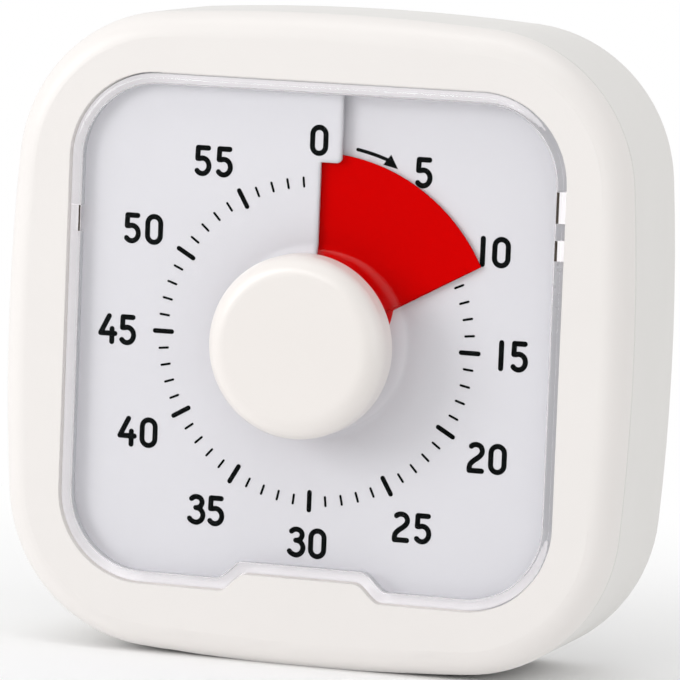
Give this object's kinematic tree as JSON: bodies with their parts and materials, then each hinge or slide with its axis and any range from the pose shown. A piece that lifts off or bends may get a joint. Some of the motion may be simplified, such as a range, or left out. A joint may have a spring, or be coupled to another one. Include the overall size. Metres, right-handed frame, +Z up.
{
  "type": "visual countdown timer",
  "caption": "Square desk timer: a front knob winds a red disc out over a printed minute dial behind a clear lens.",
  "frame": {"origin": "middle of the rear shell's flat base, on the surface that the timer stands on", "axes": "+Z up, -Y out of the front towards the viewer, +X to the viewer's right"},
  "size_m": [0.085, 0.0331, 0.0848],
  "materials": {
    "bezel_plastic": "satin warm white moulded ABS",
    "clear_plastic": "polished clear polystyrene",
    "dial_plastic": "matt printed white",
    "red_plastic": "satin red film",
    "knob_plastic": "semi-gloss warm white moulded ABS",
    "shell_plastic": "satin white moulded ABS",
    "chassis_plastic": "grey moulded ABS",
    "black_plastic": "black moulded ABS",
    "gear_plastic": "natural acetal",
    "bobbin_plastic": "green moulded nylon",
    "steel": "bright nickel-plated steel",
    "brass": "turned brass",
    "magnet": "sintered ferrite",
    "copper_wire": "enamelled copper wire",
    "board": "green solder mask",
    "battery_sleeve": "plain blue shrink sleeve"
  },
  "bodies": {
    "case": {"front_bezel": "bezel_plastic", "lens": "clear_plastic", "dial_plate": "dial_plastic", "chassis_plate": "chassis_plastic", "movement_front": "black_plastic", "movement_rear": "black_plastic", "spindle_nut": "brass", "stator": "steel", "coil_bobbin": "bobbin_plastic", "coil_winding": "copper_wire", "circuit_board": "board", "crystal": "steel", "rear_shell": "shell_plastic", "case_screws": "steel", "battery": "battery_sleeve", "contact_spring": "steel", "contact_plate": "steel", "sound_board": "board", "buzzer": "black_plastic", "switch_body": "black_plastic"},
    "turning_knob": {"knob": "knob_plastic", "spindle": "steel", "retaining_clip": "steel", "spindle_gear": "gear_plastic", "friction_spring": "steel"},
    "turning_disc": {"red_disc": "red_plastic", "disc_hub": "red_plastic", "hub_ring": "red_plastic"},
    "turning_third": {"third_wheel": "gear_plastic"},
    "turning_rotor": {"rotor_pinion": "gear_plastic", "rotor_magnet": "magnet"},
    "sliding_volume": {"volume_slider": "black_plastic"},
    "swinging_door": {"battery_door": "shell_plastic"}
  },
  "joints": [
    {"name": "knob_turn", "type": "hinge", "parent": "case", "child": "turning_knob", "pos_m": [0, 0, 0.0423], "axis": [0, 1, 0], "range_deg": [-63, 297]},
    {"name": "disc_rise", "type": "slide", "parent": "turning_knob", "child": "turning_disc", "axis": [0, -1, 0], "range_m": [-0.00025, 0.00116]},
    {"name": "third_turn", "type": "hinge", "parent": "case", "child": "turning_third", "pos_m": [0.0056, 0, 0.052], "axis": [0, 1, 0], "range_deg": [-743, 158]},
    {"name": "rotor_turn", "type": "hinge", "parent": "case", "child": "turning_rotor", "pos_m": [-0.0041, 0, 0.0576], "axis": [0, 1, 0], "range_deg": [-394.3, 1856.8]},
    {"name": "volume_slide", "type": "slide", "parent": "case", "child": "sliding_volume", "axis": [1, 0, 0], "range_m": [0, 0.004]},
    {"name": "door_swing", "type": "hinge", "parent": "case", "child": "swinging_door", "pos_m": [0, 0.0103, 0.0236], "axis": [1, 0, 0], "range_deg": [0, 80]}
  ],
  "couplings": [
    {"joint": "disc_rise", "follows": "knob_turn", "m_per_rad": 0.00022282},
    {"joint": "third_turn", "follows": "knob_turn", "ratio": -2.5},
    {"joint": "rotor_turn", "follows": "knob_turn", "ratio": 6.25}
  ]
}
